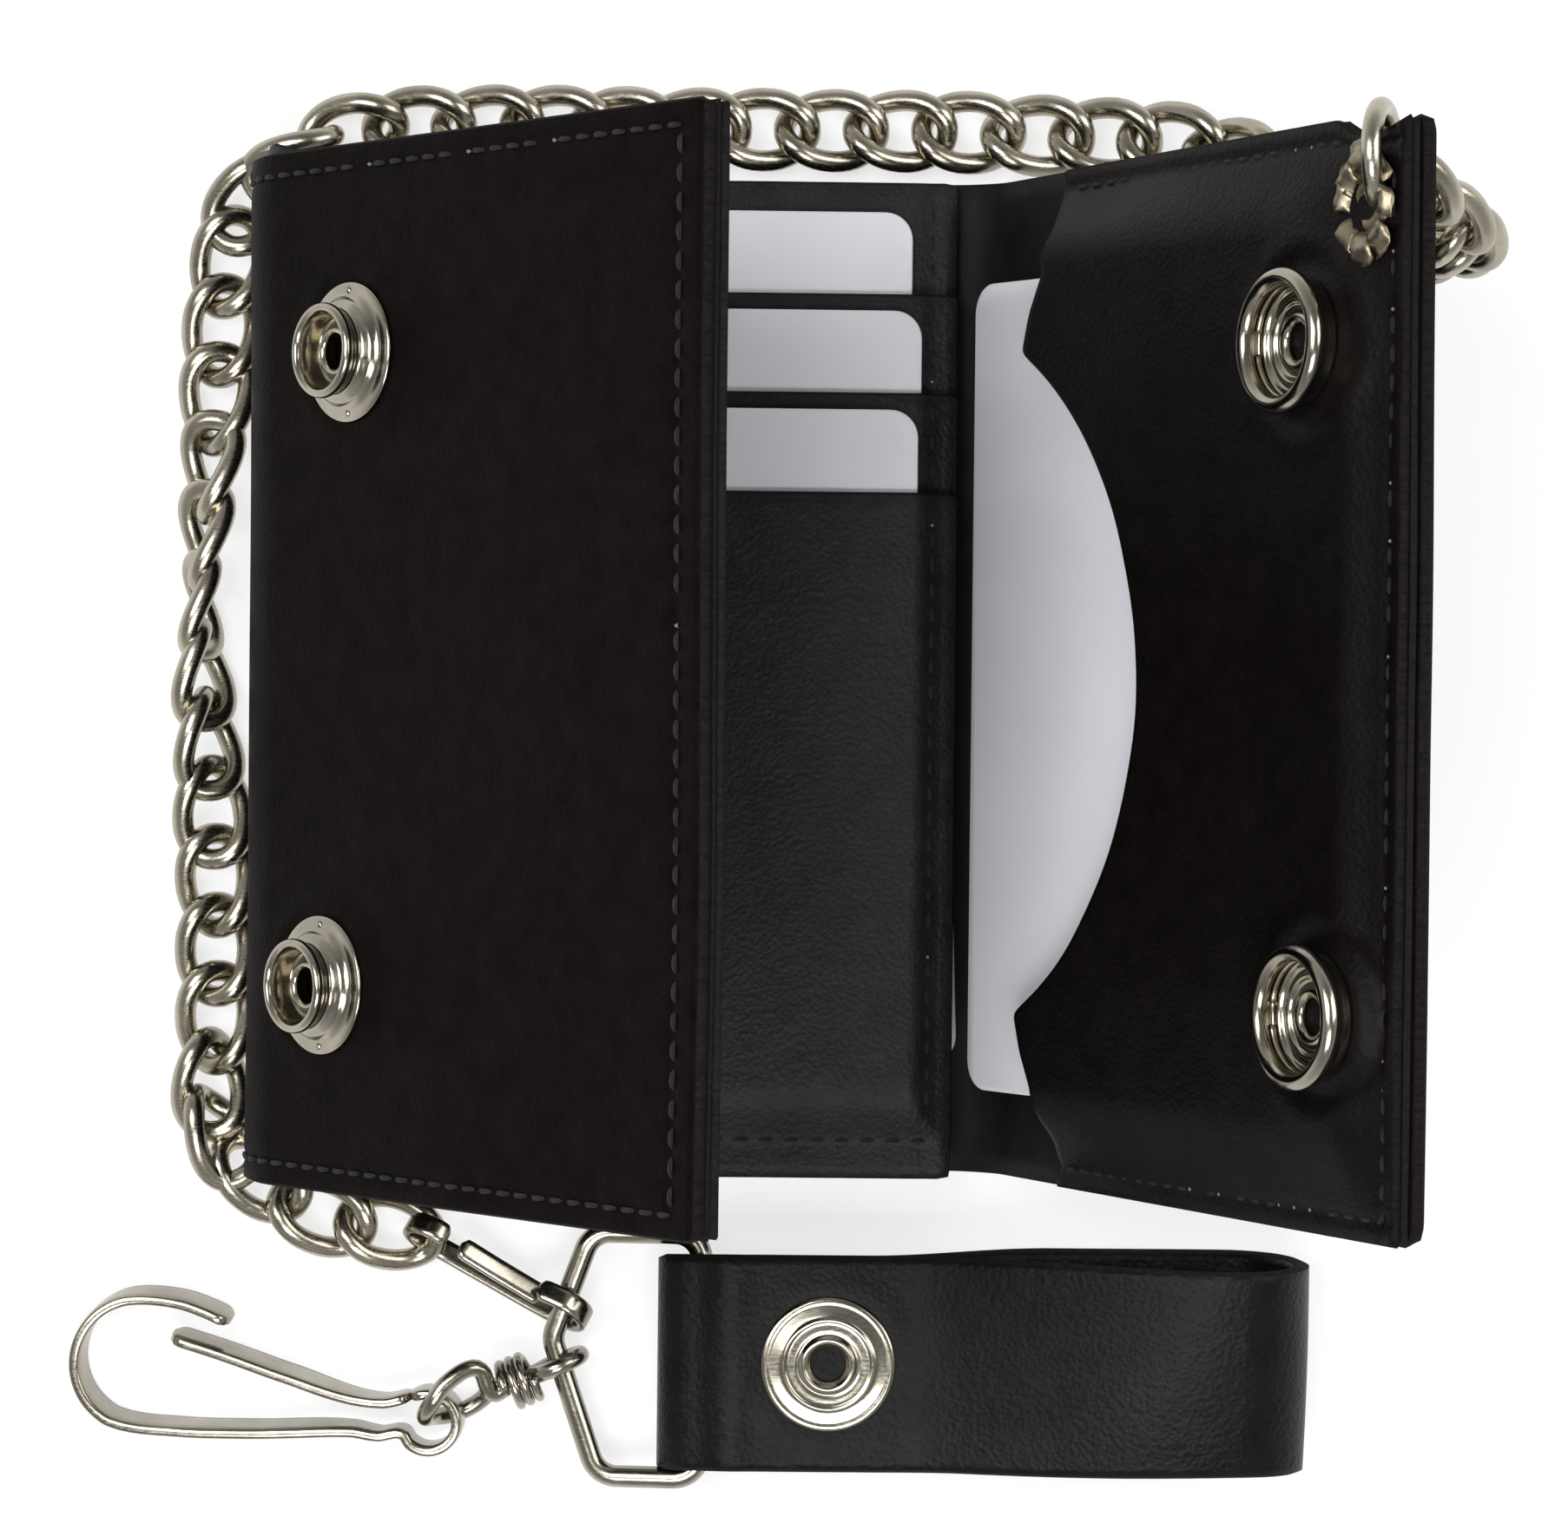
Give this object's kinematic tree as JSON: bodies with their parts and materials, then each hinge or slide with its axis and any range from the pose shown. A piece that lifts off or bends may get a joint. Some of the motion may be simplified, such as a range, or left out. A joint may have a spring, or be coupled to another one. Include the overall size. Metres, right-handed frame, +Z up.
{
  "type": "chain wallet",
  "caption": "Trifold leather wallet, half open on its back, with card slots, flap snaps, a curb chain, a belt clip, a wire ring with a snapped belt loop and a key clip.",
  "frame": {"origin": "centre of the middle panel's back face, which lies on the table", "axes": "+Z up off the table, +Y along the folds towards the top edge, +X towards the right flap"},
  "size_m": [0.1491, 0.1528, 0.0771],
  "materials": {
    "cover_leather": "smooth black leather, soft sheen",
    "lining": "thin black lining",
    "pocket_leather": "fine grained black leather",
    "card": "plain white card",
    "nickel": "polished nickel plate",
    "chain_nickel": "polished nickel plate, warm grey",
    "spring_steel": "spring wire"
  },
  "bodies": {
    "wallet": {"outer_cover_middle": "cover_leather", "left_fold": "cover_leather", "right_fold": "cover_leather", "bill_lining_middle": "lining", "lining_fold_left": "lining", "lining_fold_right": "lining", "card_backing": "pocket_leather", "slot_pocket_top": "pocket_leather", "slot_pocket_middle": "pocket_leather", "slot_pocket_bottom": "pocket_leather", "chain_top": "chain_nickel", "chain_lead": "chain_nickel"},
    "left_flap": {"outer_cover_left": "cover_leather", "bill_lining_left": "lining", "left_inner_pocket": "pocket_leather", "flap_studs": "nickel", "stud_posts": "nickel"},
    "right_flap": {"outer_cover_right": "cover_leather", "bill_lining_right": "lining", "window_pocket": "pocket_leather", "flap_sockets": "nickel", "socket_springs": "spring_steel", "snap_caps": "nickel", "chain_eyelet": "chain_nickel"},
    "card_top": {"card_top": "card"},
    "card_middle": {"card_middle": "card"},
    "card_bottom": {"card_bottom": "card"},
    "spare_card": {"spare_card": "card"},
    "window_card": {"window_card": "card"},
    "end_ring": {"end_ring": "chain_nickel"},
    "chain_left": {"chain_left": "chain_nickel"},
    "chain_end": {"chain_end": "chain_nickel"},
    "belt_clip": {"belt_clip_hook": "nickel"},
    "belt_clip_tongue": {"belt_clip_tongue": "nickel"},
    "strap_ring": {"strap_ring": "nickel"},
    "belt_strap": {"belt_strap": "cover_leather", "strap_bend": "cover_leather", "strap_eyelet": "nickel", "strap_stud": "nickel"},
    "strap_tail": {"strap_tail": "cover_leather", "strap_socket": "nickel", "strap_spring": "spring_steel", "strap_cap": "nickel"},
    "swivel": {"swivel_eye": "nickel", "swivel_wrap": "nickel"},
    "key_clip": {"key_clip_hook": "nickel"},
    "key_clip_tongue": {"key_clip_tongue": "nickel"}
  },
  "joints": [
    {"name": "left_fold", "type": "hinge", "parent": "wallet", "child": "left_flap", "pos_m": [-0.046, 0, 0.017], "axis": [0, -1, 0], "range_deg": [-47, 140], "deforming": ["left_fold", "lining_fold_left"]},
    {"name": "right_fold", "type": "hinge", "parent": "wallet", "child": "right_flap", "pos_m": [0.0376, 0, 0.0015], "axis": [0, -1, 0], "range_deg": [-58, 12], "deforming": ["right_fold", "lining_fold_right", "chain_lead"]},
    {"name": "card_top_slide", "type": "slide", "parent": "wallet", "child": "card_top", "axis": [0, 1, 0], "range_m": [0, 0.06]},
    {"name": "card_middle_slide", "type": "slide", "parent": "wallet", "child": "card_middle", "axis": [0, 1, 0], "range_m": [0, 0.06]},
    {"name": "card_bottom_slide", "type": "slide", "parent": "wallet", "child": "card_bottom", "axis": [0, 1, 0], "range_m": [0, 0.06]},
    {"name": "spare_card_slide", "type": "slide", "parent": "wallet", "child": "spare_card", "axis": [0, 1, 0], "range_m": [0, 0.01]},
    {"name": "window_card_slide", "type": "slide", "parent": "right_flap", "child": "window_card", "axis": [-0.5418, 0, -0.8405], "range_m": [0, 0.0008]},
    {"name": "end_ring_swing", "type": "hinge", "parent": "right_flap", "child": "end_ring", "pos_m": [0.0699, 0.045, 0.07118], "axis": [-0.8988, 0, 0.4384], "range_deg": [-20, 20], "deforming": ["chain_lead"]},
    {"name": "chain_left_swing", "type": "hinge", "parent": "wallet", "child": "chain_left", "pos_m": [-0.04248, 0.0542, 0.00296], "axis": [0, 0, 1], "range_deg": [-30, 0]},
    {"name": "chain_end_swing", "type": "hinge", "parent": "chain_left", "child": "chain_end", "pos_m": [-0.04725, -0.04905, 0.00296], "axis": [0, 0, 1], "range_deg": [-30, 0]},
    {"name": "belt_clip_swing", "type": "hinge", "parent": "chain_end", "child": "belt_clip", "pos_m": [-0.0224, -0.0614, 0.00396], "axis": [0, 0, 1], "range_deg": [-6, 3]},
    {"name": "belt_clip_gate", "type": "hinge", "parent": "belt_clip", "child": "belt_clip_tongue", "pos_m": [-0.01871, -0.0625, 0.00576], "axis": [0.4375, 0.802, -0.4067], "range_deg": [0, 8], "stiffness_Nm_per_rad": 0.05},
    {"name": "strap_ring_swing", "type": "hinge", "parent": "belt_clip", "child": "strap_ring", "pos_m": [-0.0084, -0.0689, 0.005], "axis": [0, 0, 1], "range_deg": [-3, 3]},
    {"name": "strap_lift", "type": "hinge", "parent": "strap_ring", "child": "belt_strap", "pos_m": [0.0069, -0.0739, 0.006], "axis": [0, -1, 0], "range_deg": [0, 100]},
    {"name": "strap_snap_open", "type": "hinge", "parent": "belt_strap", "child": "strap_tail", "pos_m": [0.066, -0.0739, 0.0053], "axis": [0, -1, 0], "range_deg": [0, 45], "deforming": ["strap_bend", "strap_spring"]},
    {"name": "swivel_swing", "type": "hinge", "parent": "strap_ring", "child": "swivel", "pos_m": [-0.00855, -0.0751, 0.0041], "axis": [0, 0, 1], "range_deg": [-2, 15]},
    {"name": "key_clip_swing", "type": "hinge", "parent": "swivel", "child": "key_clip", "pos_m": [-0.0224, -0.0812, 0.004], "axis": [0, 0, 1], "range_deg": [-3, 15]},
    {"name": "key_clip_gate", "type": "hinge", "parent": "key_clip", "child": "key_clip_tongue", "pos_m": [-0.025, -0.0786, 0.004], "axis": [0, 0, 1], "range_deg": [0, 8], "stiffness_Nm_per_rad": 0.05}
  ]
}
